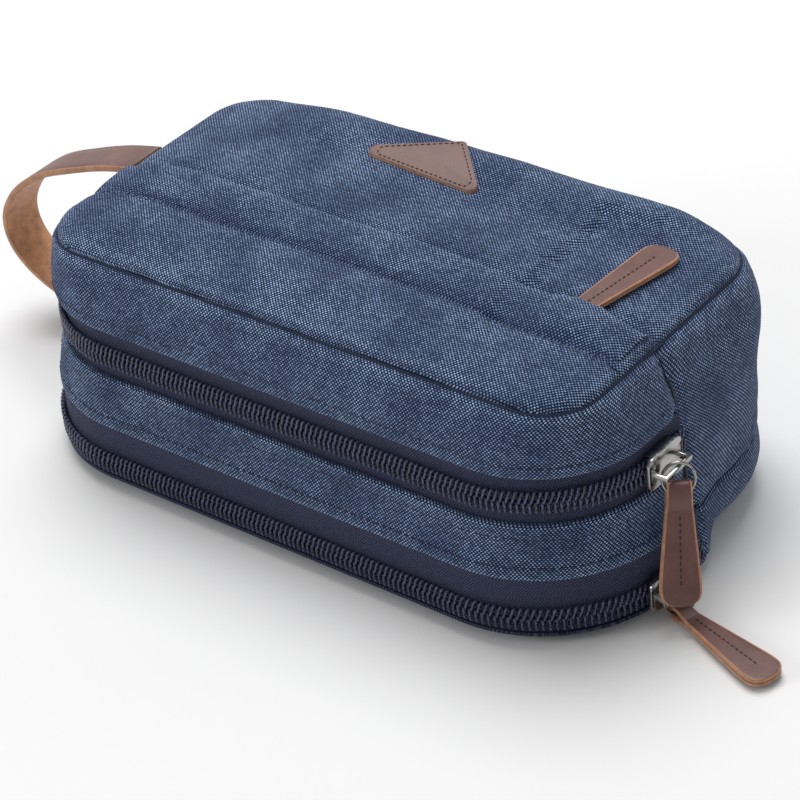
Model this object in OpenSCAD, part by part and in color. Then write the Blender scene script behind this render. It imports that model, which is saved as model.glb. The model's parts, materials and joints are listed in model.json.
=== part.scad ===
// Two-compartment shaving kit bag. Millimetres, +Z up, the bag stands on z = 0 and the origin is
// the centre of its base. The zips run round the front (-Y) and both front corners.

/* [Bag] */
// Length of the bag over the upper zip
bag_len = 260; // [230:1:290]
// Depth of the bag over the upper zip, front to back
bag_wid = 146; // [134:1:160]
// Height of the seam round the top panel
seam_h = 90; // [86:1:96]
// Rise of the crowned top above its seam
crown = 6; // [3:1:8]
// Plan radius of the corners at the upper zip
corner_r = 49; // [44:1:54]
// Plan radius of the corners at the top seam
top_corner_r = 22; // [16:1:28]
// Slope of the sides, inwards from the upper zip to the top seam
top_inset = 10; // [6:1:14]
// Depth of the vertical end seams from the centre line, towards the front
end_seam = 8.5; // [6:0.5:12]

/* [Cloth] */
// Thickness of the outer canvas
canvas_t = 1.3; // [1:0.1:1.6]
// Thickness of the foam between canvas and lining
foam_t = 2; // [1.5:0.1:2.4]
// Thickness of the lining
lining_t = 0.6; // [0.4:0.1:0.8]

/* [Zips] */
// Height of the upper zip's centre line
upper_zip_z = 56; // [54:1:58]
// Height of the lower zip's centre line
lower_zip_z = 11; // [10:0.5:12]
// How far the lower zip stands out beyond the upper one
base_flare = 6; // [4:0.5:8]
// Width of the closed chain of teeth
chain_w = 10.6; // [9:0.2:11]
// Thickness of the chain of teeth
chain_t = 2.4; // [2:0.1:2.6]

/* [Leather] */
// Length of a zip pull
pull_len = 44; // [42:1:48]
// Width of a zip pull at its ring
pull_neck_w = 8.6; // [8:0.1:9]
// Width of a zip pull at its round end
pull_end_w = 14.5; // [12:0.5:16]
// Thickness of one ply of leather
ply_t = 1.7; // [1.4:0.1:1.8]
// Width of the handle strap
strap_w = 18.5; // [16:0.5:22]

/* [Hidden] */
$fn = 40;

far = 400;
slice = 0.02;
gap = 0.3;
half_l = bag_len / 2;
half_w = bag_wid / 2;
corner_x = half_l - corner_r;
corner_y = half_w - corner_r;

// Each level of the wall: height, growth beyond the upper zip's outline, plan corner radius.
floor_level = [0, -4, corner_r - 5];
belly_level = [4.2, base_flare - 2.6, corner_r + 3];
low_zip_level = [lower_zip_z, base_flare - 1.2, corner_r + base_flare - 1.2];
divider_level = [26, 4.2, corner_r + 4];
middle_level = [40, 0.9, corner_r + 1];
up_zip_level = [upper_zip_z, -1.2, corner_r - 1.2];
chest_level = [upper_zip_z + 17, -3.4, corner_r - 11];
seam_level = [seam_h, -top_inset, top_corner_r];
crown_edge = [seam_h + 0.2, -top_inset - 0.4, top_corner_r];
crown_mid = [seam_h + crown * 0.7, -top_inset - 6, top_corner_r];
crown_top = [seam_h + crown, -top_inset - 15, top_corner_r - 3];

// The rear of the bag has a rounded bottom edge and fuller corners, and no zip to hold it out.
rear_floor_level = [0, -13, corner_r - 7];
rear_belly_level = [4.2, -8.5, corner_r - 3];
rear_low_level = [lower_zip_z, -3.5, corner_r + 3];
rear_divider_level = [26, 0.8, corner_r + 8];
rear_middle_level = [40, 0.6, corner_r + 8];
rear_up_level = [upper_zip_z, -1.2, corner_r + 2];
rear_wall_levels = [rear_divider_level, rear_middle_level, rear_up_level, chest_level, seam_level];

// Edges of the cloth beside the zips.
tape_show = 4;
low_tape_top = 26;
lid_edge_z = upper_zip_z + chain_w / 2 + tape_show;
band_edge_z = upper_zip_z - chain_w / 2 - tape_show;

// Folds: the lid hinges at the front of the pocket fly, the base flap at the end seams.
fly_seam_y = -29;
lid_rigid_y = -60;
base_hinge_y = -12;
base_rigid_y = -24;

// The fly, a folded canvas lip over the pocket zip.
fly_edge_y = -6;
fly_z = seam_h + crown + 3.9;
fly_half_l = half_l - top_inset - 8;
pocket_zip_y = -17;
pocket_tape_z = seam_h + 2.4;

// Sliders.
slider_l = 20;
slider_h = 13;
plate_t = 1.7;
plate_y = 0.3;
bar_y = plate_y + plate_t + 4.8;
bar_half_z = 0.9;
bar_half_y = 0.6;
ring_r = 5.6;
wire_half_t = 0.55;
wire_half_w = 0.95;
ring_drop = 3.6;
ring_out = 0;
pull_t = 2 * ply_t;
eye_half = wire_half_w + 0.4;
eye_reach = 2.4;

// The lower slider stands a little further round the corner. Rings turn about the vertical.
lower_slider_turn = 8;
upper_ring_turn = 49;
lower_ring_turn = 30;
lower_pull_turn = 99.3;
upper_pull_lean = 22;
upper_pull_tilt = 4;

// Points along the middle of the handle strap, in the plane of its loop, from top to base.
strap_t = 3;
strap_y = 3;
strap_path = [[-121.6, 89.5], [-137, 87.6], [-155, 82], [-173, 74.2], [-188.5, 62], [-197.5, 46],
              [-196.6, 33], [-187, 22.6], [-169, 14.6], [-151, 10.8], [-129.4, 10.4]];

canvas = [0.22, 0.30, 0.43];
canvas_dark = [0.12, 0.17, 0.29];
nylon = [0.13, 0.12, 0.18];
leather = [0.38, 0.24, 0.22];
nickel = [0.75, 0.75, 0.76];
lining_grey = [0.30, 0.33, 0.38];
foam_white = [0.85, 0.85, 0.82];
board_grey = [0.35, 0.34, 0.33];

// ---- outlines and shells ----

// Rounded rectangle of the bag's plan at one level, moved inwards by inset.
module outline(level, inset = 0) {
    hx = half_l + level[1] - inset;
    hy = half_w + level[1] - inset;
    r = max(level[2] - inset, 4);
    square([2 * hx, 2 * (hy - r)], center = true);
    square([2 * (hx - r), 2 * hy], center = true);
    for (sx = [-1, 1], sy = [-1, 1]) translate([sx * (hx - r), sy * (hy - r)]) circle(r);
}

module level_slice(level, inset = 0, drop = 0) {
    translate([0, 0, level[0] - drop]) linear_extrude(slice) outline(level, inset);
}

// Level at height z between two levels.
function between(a, b, z) = a + (b - a) * (z - a[0]) / (b[0] - a[0]);

// Levels carried on half a millimetre past both ends.
function carried_on(levels) =
    let (n = len(levels))
        [between(levels[0], levels[1], levels[0][0] - 0.5), for (i = [1:1:n - 2]) levels[i],
         between(levels[n - 2], levels[n - 1], levels[n - 1][0] + 0.5)];

module stack(levels, inset) {
    for (i = [0:len(levels) - 2]) hull() {
        level_slice(levels[i], inset);
        level_slice(levels[i + 1], inset);
    }
}

// Wall of thickness t through a list of levels, its outer face moved inwards by inset.
module wall(levels, t, inset = 0) {
    difference() {
        stack(levels, inset);
        stack(carried_on(levels), inset + t);
    }
}

// Region of everything in front of y = a and behind y = b.
module slab(a, b) {
    translate([-far, b, -far]) cube([2 * far, a - b, 2 * far]);
}

module front_of(y) { slab(y, -far); }
module behind(y) { slab(far, y); }

// Crowned cap of the top, hollow below.
module top_cap(t) {
    difference() {
        hull() {
            level_slice(crown_edge);
            level_slice(crown_mid);
            level_slice(crown_top, 0, slice);
        }
        hull() {
            level_slice(crown_edge, 2.2, 1);
            level_slice(crown_edge, t, 0.5);
            level_slice(crown_mid, t, t);
            level_slice(crown_top, 0, t);
        }
    }
}

// Flat band that follows the zip's outline: from r_in to r_out beyond level, between two heights.
module zip_band(level, r_out, r_in, z0, z1) {
    translate([0, 0, z0]) linear_extrude(z1 - z0) difference() {
        outline(level, -r_out);
        outline(level, -r_in);
    }
}

upper_path = [0, 0, corner_r];
lower_path = [0, base_flare, corner_r + base_flare];
tape_out = -chain_t - 0.1;
tape_in = tape_out - 0.6;
split = 0.45;

// ---- canvas ----

module rear_gusset() {
    color(canvas) intersection() {
        wall(rear_wall_levels, canvas_t);
        union() {
            behind(-end_seam);
            intersection() {
                slab(-end_seam + 1, fly_seam_y);
                translate([-far, -far, lid_edge_z]) cube(2 * far);
            }
        }
    }
}

module rear_base_band() {
    color(canvas) intersection() {
        wall([rear_belly_level, rear_low_level, between(rear_low_level, rear_divider_level, low_tape_top - 0.2)],
             canvas_t);
        behind(-end_seam);
    }
}

module middle_band() {
    color(canvas_dark) intersection() {
        wall([divider_level, middle_level, between(middle_level, up_zip_level, band_edge_z)], canvas_t);
        front_of(-end_seam - gap);
    }
}

module rear_top_panel() {
    color(canvas) difference() {
        intersection() {
            top_cap(canvas_t);
            behind(fly_seam_y + gap);
        }
        translate([-fly_half_l - gap, fly_seam_y, 0]) cube([2 * (fly_half_l + gap), 1 - fly_seam_y, far]);
    }
}

module front_top_fold() {
    color(canvas) intersection() {
        top_cap(canvas_t);
        slab(fly_seam_y, lid_rigid_y + gap);
    }
}

module lid_top_panel() {
    color(canvas) intersection() {
        top_cap(canvas_t);
        front_of(lid_rigid_y);
    }
}

module upper_front_wall() {
    wall([between(up_zip_level, chest_level, lid_edge_z), chest_level, seam_level], canvas_t);
}

module side_folds() {
    color(canvas_dark) intersection() {
        upper_front_wall();
        slab(fly_seam_y - gap, lid_rigid_y + gap);
    }
}

module lid_front_gusset() {
    color(canvas_dark) intersection() {
        upper_front_wall();
        front_of(lid_rigid_y);
    }
}

// Folded lip: rises from its seam and lies flat over the pocket zip.
module pocket_fly() {
    fly_t = 1.5;
    rise_y = fly_seam_y + 5;
    low_z = seam_h + crown - 1.2;
    color(canvas) rotate([90, 0, 90]) linear_extrude(2 * fly_half_l, center = true) polygon([
        [fly_seam_y + gap, low_z], [fly_seam_y + gap, low_z + fly_t], [rise_y, fly_z + fly_t],
        [fly_edge_y, fly_z + fly_t], [fly_edge_y, fly_z], [rise_y + 0.6, fly_z]]);
}

// ---- pocket ----

module pocket_zip_tape() {
    color(nylon) difference() {
        translate([-fly_half_l, fly_seam_y + 1, pocket_tape_z]) cube([2 * fly_half_l, 30, 0.6]);
        translate([-far, pocket_zip_y - split, pocket_tape_z - 1]) cube([2 * far, 2 * split, 3]);
    }
}

module pocket_zip_coil() {
    row_w = 2.6;
    for (side = [-1, 1])
        color(nylon)
            translate([0, pocket_zip_y + side * (split + row_w / 2), pocket_tape_z + 1.35])
                cube([2 * fly_half_l - 8, row_w, 1.3], center = true);
}

// Shallow cloth tray that hangs below the pocket zip.
module pocket_bag() {
    tray = [2 * fly_half_l - 10, 62, 7.4];
    color(lining_grey) translate([-tray[0] / 2, fly_seam_y + 1.5, pocket_tape_z - 0.3 - tray[2]]) difference() {
        cube(tray);
        translate([1, 1, 1]) cube([tray[0] - 2, tray[1] - 2, tray[2]]);
    }
}

pocket_rest_x = 91;
pocket_bar_z = pocket_tape_z + 5.55;
pocket_bar_r = 0.5;

module pocket_slider() {
    plate = [13, 8.6, 0.9];
    upper_z = pocket_tape_z + 2.35;
    color(nickel) translate([pocket_rest_x, pocket_zip_y, 0]) {
        translate([0, 0, upper_z + plate[2] / 2]) cube(plate, center = true);
        translate([0, 0, pocket_tape_z - 0.3 - plate[2] / 2]) cube(plate, center = true);
        translate([3, -0.15, pocket_tape_z - 0.6]) cube([3, 0.3, 3.2]);
        for (side = [-1, 1])
            translate([side * 5.4 - 0.6, -1.2, upper_z]) cube([1.2, 2.4, pocket_bar_z - upper_z + pocket_bar_r]);
        translate([0, 0, pocket_bar_z]) rotate([0, 90, 0]) cylinder(r = pocket_bar_r, h = 11.8, center = true);
    }
}

function arc(centre, r, from, to, n = 8) =
    [for (i = [0:n]) centre + r * [cos(from + (to - from) * i / n), sin(from + (to - from) * i / n)]];

// Side view of a pull: a round eye of two plies that close together. X runs along the pull.
module pull_side(eye_half, eye_reach, ply, len) {
    outer = eye_half + ply;
    body_half = ply + 0.05;
    last_x = len - outer;
    difference() {
        polygon(concat(arc([0, 0], outer, 90, 270), [
            [eye_reach, -outer], [eye_reach + 6, -body_half], [last_x, -body_half],
            [last_x, body_half], [eye_reach + 6, body_half], [eye_reach, outer]]));
        polygon(concat(arc([0, 0], eye_half, 90, 270), arc([eye_reach, 0], eye_half, -90, 90)));
    }
}

// Front view of a pull: a narrow neck that widens to a round end. X runs along the pull.
module pull_front(neck, top, len) {
    end_r = 4.6;
    end_x = len - top - end_r;
    end_y = pull_end_w / 2 - end_r;
    polygon(concat([[-top, neck / 2], [-top, -neck / 2], [5, -neck / 2 - 0.3]],
        arc([end_x, -end_y], end_r, -90, 0), arc([end_x, end_y], end_r, 0, 90), [[5, neck / 2 + 0.3]]));
}

// A folded leather pull lying along +X, with the axis of its eye on Y.
module leather_pull(eye_half, eye_reach, ply, neck, len) {
    top = eye_half + ply;
    color(leather) intersection() {
        rotate([90, 0, 0]) linear_extrude(40, center = true) pull_side(eye_half, eye_reach, ply, len);
        linear_extrude(40, center = true) pull_front(neck, top, len);
    }
}

module pocket_pull() {
    translate([pocket_rest_x, pocket_zip_y, pocket_bar_z])
        rotate([0, 0, 83]) translate([-0.3, 0, 0]) leather_pull(0.75, 1, 1, 8, pull_len + 10);
}

// Plain leather triangle with rounded corners, stitched to the rear of the top.
module triangle_patch() {
    base_y = 38;
    apex_y = 57;
    round_r = 2.2;
    mid_x = -9.5;
    half_base = 22.5;
    patch_z = seam_h + crown + 0.05;
    color(leather) translate([0, 0, patch_z]) linear_extrude(1.6) hull() {
        for (p = [[mid_x - half_base, base_y], [mid_x + half_base, base_y], [mid_x + 2, apex_y]])
            translate(p) circle(round_r);
    }
}

// ---- handle ----

function spline(a, b, c, d, t) =
    0.5 * (2 * b + (c - a) * t + (2 * a - 5 * b + 4 * c - d) * t * t + (3 * b - a - 3 * c + d) * t * t * t);
function at(path, i) = path[max(0, min(len(path) - 1, i))];
steps = 4;
strap_mid = [for (i = [0:len(strap_path) - 2], s = [0:steps - 1])
                spline(at(strap_path, i - 1), at(strap_path, i), at(strap_path, i + 1),
                       at(strap_path, i + 2), s / steps),
             strap_path[len(strap_path) - 1]];
function normal(path, i) =
    let (d = at(path, i + 1) - at(path, i - 1)) [-d[1], d[0]] / norm(d);

module handle_strap() {
    last = len(strap_mid) - 1;
    color(leather) translate([0, strap_y + strap_w / 2, 0]) rotate([90, 0, 0])
        linear_extrude(strap_w) polygon([
            for (i = [0:last]) strap_mid[i] + normal(strap_mid, i) * strap_t / 2,
            for (i = [last:-1:0]) strap_mid[i] - normal(strap_mid, i) * strap_t / 2]);
}

// ---- gusset zips ----

module upper_zip_part(r_out, r_in, z0, z1) {
    color(nylon) intersection() {
        zip_band(upper_path, r_out, r_in, z0, z1);
        front_of(-end_seam - gap);
    }
}

module lower_zip_part(r_out, r_in, z0, z1, y = -end_seam - gap) {
    color(nylon) intersection() {
        zip_band(lower_path, r_out, r_in, z0, z1);
        front_of(y);
    }
}

module upper_tape_case() { upper_zip_part(tape_out, tape_in, band_edge_z + 0.1, upper_zip_z - split); }
module upper_coil_case() { upper_zip_part(0, -chain_t, upper_zip_z - chain_w / 2, upper_zip_z - split); }
module upper_tape_lid() { upper_zip_part(tape_out, tape_in, upper_zip_z + split, lid_edge_z - 0.1); }
module upper_coil_lid() { upper_zip_part(0, -chain_t, upper_zip_z + split, upper_zip_z + chain_w / 2); }
module lower_tape_case() { lower_zip_part(tape_out, tape_in, lower_zip_z + split, low_tape_top - 0.1); }
module lower_coil_case() { lower_zip_part(0, -chain_t, lower_zip_z + split, lower_zip_z + chain_w / 2); }
module lower_tape_base() {
    lower_zip_part(tape_out, tape_in, belly_level[0] + 0.2, lower_zip_z - split, base_hinge_y);
}
module lower_coil_base() {
    lower_zip_part(0, -chain_t, lower_zip_z - chain_w / 2, lower_zip_z - split, base_hinge_y);
}

// ---- sliders: X along the zip, Y out of the wall, Z across the zip, the chain's face on y = 0 ----

module slider_body() {
    inner_y = -chain_t - 0.7 - 1.3;
    flange_z = chain_w / 2 + 0.35;
    flange_t = slider_h / 2 - flange_z;
    bridge_h = bar_y + bar_half_y;
    color(nickel) {
        translate([-slider_l / 2 + 3, plate_y, 0]) rotate([-90, 0, 0]) linear_extrude(plate_t) {
            translate([0, -slider_h / 2]) square([slider_l - 6, slider_h]);
            translate([-3, -slider_h / 2 + 3]) square([slider_l, slider_h - 6]);
            for (x = [0, slider_l - 6], side = [-1, 1]) translate([x, side * (slider_h / 2 - 3)]) circle(3);
        }
        for (side = [0, 1]) mirror([0, 0, side])
            translate([-slider_l / 2 + 3, -1.6, flange_z]) cube([slider_l - 6, 2.2 + plate_y, flange_t]);
        translate([-8, inner_y - 1.4, -5]) cube([16, 1.4, 10]);
        translate([3, inner_y - 0.4, -0.15]) cube([4, 0.6 - inner_y + plate_y, 0.3]);
        for (x = [-8, 6.6]) translate([x, plate_y + plate_t - 0.2, -bar_half_z])
            cube([1.4, bridge_h - plate_y - plate_t + 0.2, 2 * bar_half_z]);
        translate([-8, bar_y - bar_half_y, -bar_half_z]) cube([16, 2 * bar_half_y, 2 * bar_half_z]);
    }
}

// Ring through the bridge, turned about Z by turn from the zip's direction and leaning outwards.
module slider_ring(turn, lean, tilt, out, drop) {
    color(nickel) translate([0, bar_y, 0]) rotate([0, 0, turn]) rotate([lean, tilt, 0])
        translate([out, 0, -drop]) rotate([90, 0, 0])
            rotate_extrude() translate([ring_r, 0]) resize([2 * wire_half_t, 2 * wire_half_w]) circle(1, $fn = 20);
}

// Puts a slider's own frame on the wall, turned round the front right corner from its rear end.
module at_slider(grow, z, turn = 0) {
    translate([corner_x, -corner_y, z]) rotate([0, 0, -turn]) translate([corner_r + grow, 0, 0])
        rotate([0, 0, -90]) mirror([1, 0, 0]) children();
}

module upper_slider() { at_slider(0, upper_zip_z) slider_body(); }
module upper_ring() {
    at_slider(0, upper_zip_z) slider_ring(upper_ring_turn, upper_pull_lean, upper_pull_tilt, ring_out, ring_drop);
}

module upper_pull() {
    at_slider(0, upper_zip_z) translate([0, bar_y, 0]) rotate([0, 0, upper_ring_turn])
        rotate([upper_pull_lean, upper_pull_tilt, 0])
            translate([ring_out, 0, -ring_drop - ring_r + 2.3]) rotate([0, 90, 90])
            leather_pull(eye_half, eye_reach, ply_t, pull_neck_w, pull_len);
}

lower_eye_half = 1.3;
lower_eye_z = lower_eye_half + ply_t;
lower_pull_shift = -1;
lower_drop = lower_zip_z - lower_eye_z + 0.7 - ring_r;
lower_out = -1;
lower_neck_w = 5.2;

module at_lower_slider() { at_slider(base_flare, lower_zip_z, lower_slider_turn) children(); }
module lower_slider() { at_lower_slider() slider_body(); }
module lower_ring() { at_lower_slider() slider_ring(lower_ring_turn, 0, 0, lower_out, lower_drop); }

module lower_pull() {
    at_lower_slider() translate([0, bar_y, 0]) rotate([0, 0, lower_ring_turn])
        translate([lower_out, 0, lower_eye_z - lower_zip_z]) rotate([0, 0, lower_pull_turn - lower_ring_turn])
            translate([lower_pull_shift, 0, 0])
                leather_pull(lower_eye_half, eye_reach, ply_t, lower_neck_w, pull_len + 7);
}

// ---- base ----

module base_cup(low, high, t) {
    difference() {
        hull() {
            level_slice(low);
            level_slice(between(low, high, high[0] - 0.1));
        }
        translate([0, 0, t]) hull() {
            level_slice(low, t);
            level_slice(between(low, high, high[0] + 1), t);
        }
    }
}

module front_cup() { base_cup(floor_level, belly_level, canvas_t); }

module rear_base_panel() {
    color(canvas) intersection() {
        base_cup(rear_floor_level, rear_belly_level, canvas_t);
        behind(base_hinge_y);
    }
}

module base_fold() {
    color(canvas) intersection() {
        front_cup();
        slab(base_hinge_y - 0.1, base_rigid_y + 0.1);
    }
}

module base_floor_cut() {
    translate([-far, -far, -1]) cube([2 * far, 2 * far, 1 + canvas_t]);
}

module front_base_panel() {
    color(canvas) intersection() {
        front_cup();
        front_of(base_rigid_y);
        base_floor_cut();
    }
}

module front_base_rim() {
    color(canvas_dark) difference() {
        intersection() {
            front_cup();
            front_of(base_rigid_y);
        }
        base_floor_cut();
    }
}

module board(level, y0, y1) {
    color(board_grey) intersection() {
        translate([0, 0, canvas_t + 0.05]) linear_extrude(1.8) outline(level, 3);
        slab(y0, y1);
    }
}

module rear_base_board() { board(rear_floor_level, far, base_hinge_y + 1); }
module front_base_board() { board(floor_level, base_rigid_y - 1, -far); }

module divider() {
    color(lining_grey) translate([0, 0, divider_level[0] - 0.6])
        linear_extrude(1.2) outline(rear_divider_level, canvas_t + foam_t + lining_t + 0.5);
}

// ---- padding, lining, binding ----

foam_in = canvas_t + 0.1;
lining_in = foam_in + foam_t + 0.1;
rear_inner_levels = [rear_divider_level, rear_middle_level, rear_up_level, chest_level,
                     between(chest_level, seam_level, seam_h - 3)];
middle_inner_levels = [between(divider_level, middle_level, 27), between(middle_level, up_zip_level, 46)];
lid_inner_levels = [between(up_zip_level, chest_level, lid_edge_z + 0.2),
                    between(chest_level, seam_level, seam_h - 3)];

module rear_part() { behind(-end_seam + 0.5); }
module front_part() { front_of(-end_seam - 1.5); }

module rear_foam() {
    color(foam_white) intersection() {
        wall(rear_inner_levels, foam_t, foam_in);
        rear_part();
    }
}

module middle_foam() {
    color(foam_white) intersection() {
        wall(middle_inner_levels, foam_t, foam_in + 0.5);
        front_part();
    }
}

module lid_foam() {
    color(foam_white) intersection() {
        wall(lid_inner_levels, foam_t, foam_in + 0.6);
        front_of(lid_rigid_y);
    }
}

module rear_lining() {
    color(lining_grey) intersection() {
        wall(rear_inner_levels, lining_t, lining_in);
        rear_part();
    }
}

module middle_lining() {
    color(lining_grey) intersection() {
        wall(middle_inner_levels, lining_t, lining_in + 0.5);
        front_part();
    }
}

module lid_lining() {
    color(lining_grey) intersection() {
        wall(lid_inner_levels, lining_t, lining_in + 0.6);
        front_of(lid_rigid_y);
    }
}

module top_lining() {
    color(lining_grey) intersection() {
        translate([0, 0, pocket_tape_z - 0.3 - 7.4 - 0.9]) linear_extrude(lining_t) outline(seam_level, 8);
        behind(fly_seam_y + 1);
    }
}

module lower_lining() {
    color(lining_grey) intersection() {
        wall([between(rear_belly_level, rear_low_level, 5), rear_low_level,
              between(rear_low_level, rear_divider_level, 24.6)], lining_t, 3.4);
        rear_part();
    }
}

// Tape that binds the raw edges of the top seam inside the bag.
module seam_binding() {
    wall([between(chest_level, seam_level, seam_h - 2.8), between(chest_level, seam_level, seam_h - 0.2)], 2,
         canvas_t + 0.2);
}

module rear_seam_binding() {
    color(nylon) intersection() {
        seam_binding();
        rear_part();
    }
}

module lid_seam_binding() {
    color(nylon) intersection() {
        seam_binding();
        front_of(lid_rigid_y);
    }
}

rear_gusset();
rear_base_band();
middle_band();
rear_top_panel();
front_top_fold();
side_folds();
lid_top_panel();
lid_front_gusset();
pocket_fly();
pocket_zip_tape();
pocket_zip_coil();
pocket_bag();
pocket_slider();
pocket_pull();
triangle_patch();
handle_strap();
upper_tape_case();
upper_coil_case();
upper_tape_lid();
upper_coil_lid();
lower_tape_case();
lower_coil_case();
lower_tape_base();
lower_coil_base();
upper_slider();
upper_ring();
upper_pull();
lower_slider();
lower_ring();
lower_pull();
rear_base_panel();
base_fold();
front_base_panel();
front_base_rim();
rear_base_board();
front_base_board();
divider();
rear_foam();
middle_foam();
lid_foam();
rear_lining();
middle_lining();
lid_lining();
top_lining();
lower_lining();
rear_seam_binding();
lid_seam_binding();
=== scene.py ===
import json
import math

import bmesh
import bpy
import numpy as np
from mathutils import Matrix, Vector, noise
from mathutils.bvhtree import BVHTree


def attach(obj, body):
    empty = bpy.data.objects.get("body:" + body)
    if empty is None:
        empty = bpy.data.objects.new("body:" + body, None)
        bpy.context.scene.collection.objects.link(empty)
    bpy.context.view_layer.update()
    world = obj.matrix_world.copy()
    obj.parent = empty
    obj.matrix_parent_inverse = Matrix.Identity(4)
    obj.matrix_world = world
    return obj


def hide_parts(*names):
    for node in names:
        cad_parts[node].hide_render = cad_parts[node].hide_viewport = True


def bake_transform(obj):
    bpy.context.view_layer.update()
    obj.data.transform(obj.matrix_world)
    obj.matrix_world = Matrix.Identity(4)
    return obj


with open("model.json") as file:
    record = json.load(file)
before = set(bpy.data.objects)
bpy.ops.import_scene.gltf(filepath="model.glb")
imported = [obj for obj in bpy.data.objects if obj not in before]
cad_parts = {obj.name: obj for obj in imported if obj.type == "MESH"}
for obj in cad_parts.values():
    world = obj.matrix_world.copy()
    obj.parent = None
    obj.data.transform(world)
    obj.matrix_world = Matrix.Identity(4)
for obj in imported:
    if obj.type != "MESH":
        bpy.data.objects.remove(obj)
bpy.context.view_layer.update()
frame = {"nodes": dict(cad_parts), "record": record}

MM = 0.001
scene = bpy.context.scene

# ---------------------------------------------------------------- dimensions, in millimetres
LEN, WID, CORNER = 260.0, 146.0, 49.0
SEAM_Z, SEAM_INSET, SEAM_CORNER = 90.0, 10.0, 22.0
TOP_X, TOP_Y = LEN / 2 - SEAM_INSET, WID / 2 - SEAM_INSET
CROWN = 6.0
UP_ZIP, LOW_ZIP, FLARE = 56.0, 11.0, 6.0
CHAIN_HALF, TAPE_SHOW = 5.3, 4.0
LID_EDGE = UP_ZIP + CHAIN_HALF + TAPE_SHOW
BAND_EDGE = UP_ZIP - CHAIN_HALF - TAPE_SHOW
DIVIDER_Z = 26.0
END_SEAM_Y = -8.5
FLY_SEAM_Y, FLY_EDGE_Y = -29.0, -9.5
CANVAS_T = 1.3
COIL_PITCH = 2.15
RING_R, RING_DROP, WIRE_R = 5.6, 3.6, 0.48

# Two bodies, and the lines where the fabric between them starts and ends its fold; a piece given one of these
# is baked where it stands and follows neither body
LID_FOLD = ("case", "lid", (0, -0.029, 0), (0, -0.060, 0))
BASE_FOLD = ("case", "base_flap", (0, -0.012, 0), (0, -0.024, 0))


# ---------------------------------------------------------------- camera, floor and light
def set_camera():
    azimuth, elevation, roll = (math.radians(a) for a in (41.1, 33.93, -6.23))
    distance = 1.0213
    target = Vector((-3.12, -9.57, 40.8)) * MM
    back = Vector((math.sin(azimuth) * math.cos(elevation), -math.cos(azimuth) * math.cos(elevation),
                   math.sin(elevation)))
    right = Vector((0, 0, 1)).cross(back).normalized()
    up = back.cross(right)
    rolled_right = right * math.cos(roll) + up * math.sin(roll)
    rolled_up = up * math.cos(roll) - right * math.sin(roll)
    data = bpy.data.cameras.new("camera")
    data.sensor_width = 36
    data.lens = 124.87
    data.shift_x, data.shift_y = 0.0271, -0.0425
    data.clip_start = 0.05
    scene.camera = bpy.data.objects.new("camera", data)
    scene.collection.objects.link(scene.camera)
    place = Matrix((rolled_right, rolled_up, back)).transposed().to_4x4()
    place.translation = target + back * distance
    scene.camera.matrix_world = place


def area_light(name, place, target, size, watts):
    data = bpy.data.lights.new(name, "AREA")
    data.shape = "DISK"
    data.size = size
    data.energy = watts
    light = bpy.data.objects.new(name, data)
    light.location = place
    light.rotation_euler = (Vector(target) - Vector(place)).to_track_quat("-Z", "Y").to_euler()
    scene.collection.objects.link(light)


def set_stage():
    reach = 6.0
    corners = [(-reach, -reach, 0), (reach, -reach, 0), (reach, reach, 0), (-reach, reach, 0)]
    floor_mesh = bpy.data.meshes.new("floor")
    floor_mesh.from_pydata(corners, [], [(0, 1, 2, 3)])
    floor_mesh.materials.append(Nodes("floor_paint").finish(colour=(0.9, 0.9, 0.9), roughness=0.9))
    floor = bpy.data.objects.new("floor", floor_mesh)
    scene.collection.objects.link(floor)
    world = bpy.data.worlds.new("studio")
    world.use_nodes = True
    sky = world.node_tree.nodes["Background"].inputs
    sky["Color"].default_value = (1, 1, 1, 1)
    sky["Strength"].default_value = 0.36
    scene.world = world
    scene.view_settings.view_transform = "Standard"
    area_light("key_light", (-1.0, 1.0, 3.2), (0, 0, 0.05), 2.6, 99)
    area_light("front_light", (-2.4, -2.9, 1.5), (0, 0, 0.04), 1.4, 33)
    area_light("side_light", (2.6, 2.7, 1.4), (0, 0, 0.04), 1.2, 6)


# ---------------------------------------------------------------- materials
SHADER_INPUTS = {"colour": "Base Color", "roughness": "Roughness", "normal": "Normal", "metallic": "Metallic",
                 "specular": "Specular IOR Level", "sheen": "Sheen Weight",
                 "sheen_roughness": "Sheen Roughness"}


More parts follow.
